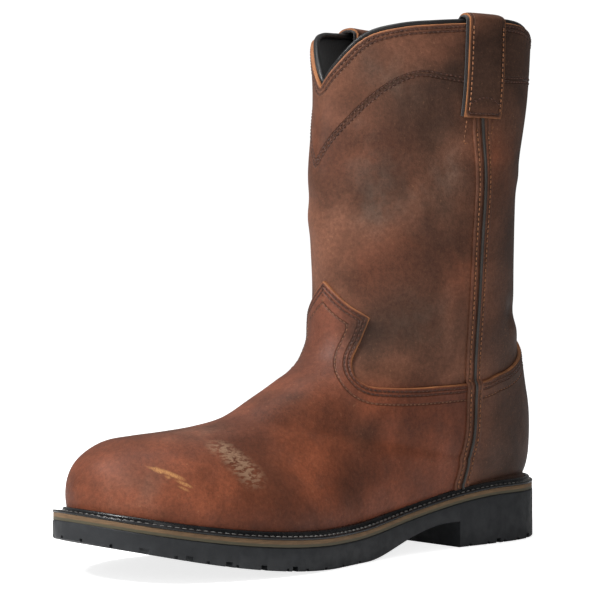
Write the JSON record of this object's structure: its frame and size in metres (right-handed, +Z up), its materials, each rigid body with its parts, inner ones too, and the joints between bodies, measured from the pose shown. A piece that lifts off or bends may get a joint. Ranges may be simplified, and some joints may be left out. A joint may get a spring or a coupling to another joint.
{
  "type": "work boot",
  "caption": "Left pull-on steel toe work boot: red-brown oiled leather vamp, counter and shaft, V-front bound collar, pull straps, storm welt and lugged rubber sole with heel.",
  "frame": {"origin": "on the ground under the middle of the heel, where the heel rests", "axes": "+Z up; the toe points along -Y; +X is the outer (lateral) side of this left boot"},
  "size_m": [0.115, 0.3131, 0.2961],
  "materials": {
    "outsole_rubber": "matte, slightly dusty",
    "midsole_leather": "cut edge",
    "welt_rubber": "satin",
    "welt_thread": "waxed thread",
    "insole_board": "matte",
    "steel": "brushed",
    "cork": "matte",
    "footbed_foam": "matte",
    "rim_rubber": "matte",
    "foot_leather": "oiled, worn",
    "interlining": "matte",
    "lining": "matte",
    "heel_leather": "oiled, worn",
    "counter_board": "matte",
    "shaft_leather": "oiled, worn",
    "binding": "satin",
    "piping": "satin",
    "strap_leather": "oiled, worn",
    "strap_backing": "woven"
  },
  "bodies": {
    "rear": {"outsole_heel": "outsole_rubber", "midsole_rear": "midsole_leather", "storm_welt_rear": "welt_rubber", "welt_stitching_rear": "welt_thread", "insole_board_rear": "insole_board", "steel_shank": "steel", "footbed": "footbed_foam", "vamp": "foot_leather", "vamp_interlining": "interlining", "vamp_lining": "lining", "counter_cover": "heel_leather", "heel_counter": "counter_board"},
    "forefoot": {"outsole_forepart": "outsole_rubber", "midsole_forepart": "midsole_leather", "storm_welt_forepart": "welt_rubber", "welt_stitching_forepart": "welt_thread", "insole_board_forepart": "insole_board", "cork_filler": "cork", "steel_toe_cap": "steel", "toe_cap_rim": "rim_rubber"},
    "shaft": {"shaft_front": "shaft_leather", "shaft_back": "shaft_leather", "shaft_lining": "lining", "collar_binding": "binding", "side_strip_lateral": "shaft_leather", "side_strip_medial": "shaft_leather", "side_piping_lateral": "piping", "side_piping_medial": "piping"},
    "strap_lateral": {"pull_strap_lateral": "strap_leather", "strap_backing_lateral": "strap_backing"},
    "strap_medial": {"pull_strap_medial": "strap_leather", "strap_backing_medial": "strap_backing"}
  },
  "joints": [
    {"name": "forefoot_flex", "type": "hinge", "parent": "rear", "child": "forefoot", "pos_m": [0, -0.165, 0.0215], "axis": [-1, 0, 0], "range_deg": [0, 25], "stiffness_Nm_per_rad": 3, "deforming": ["vamp", "vamp_lining", "vamp_interlining", "footbed"]},
    {"name": "shaft_lean", "type": "hinge", "parent": "rear", "child": "shaft", "pos_m": [0, -0.04, 0.148], "axis": [1, 0, 0], "range_deg": [-8, 14], "stiffness_Nm_per_rad": 6, "deforming": ["shaft_front", "shaft_back", "shaft_lining", "collar_binding", "side_strip_lateral", "side_strip_medial", "side_piping_lateral", "side_piping_medial"]},
    {"name": "pull_strap_lateral_lift", "type": "slide", "parent": "shaft", "child": "strap_lateral", "axis": [0, 0, 1], "range_m": [0, 0.006], "deforming": ["pull_strap_lateral", "strap_backing_lateral"]},
    {"name": "pull_strap_medial_lift", "type": "slide", "parent": "shaft", "child": "strap_medial", "axis": [0, 0, 1], "range_m": [0, 0.006], "deforming": ["pull_strap_medial", "strap_backing_medial"]}
  ]
}
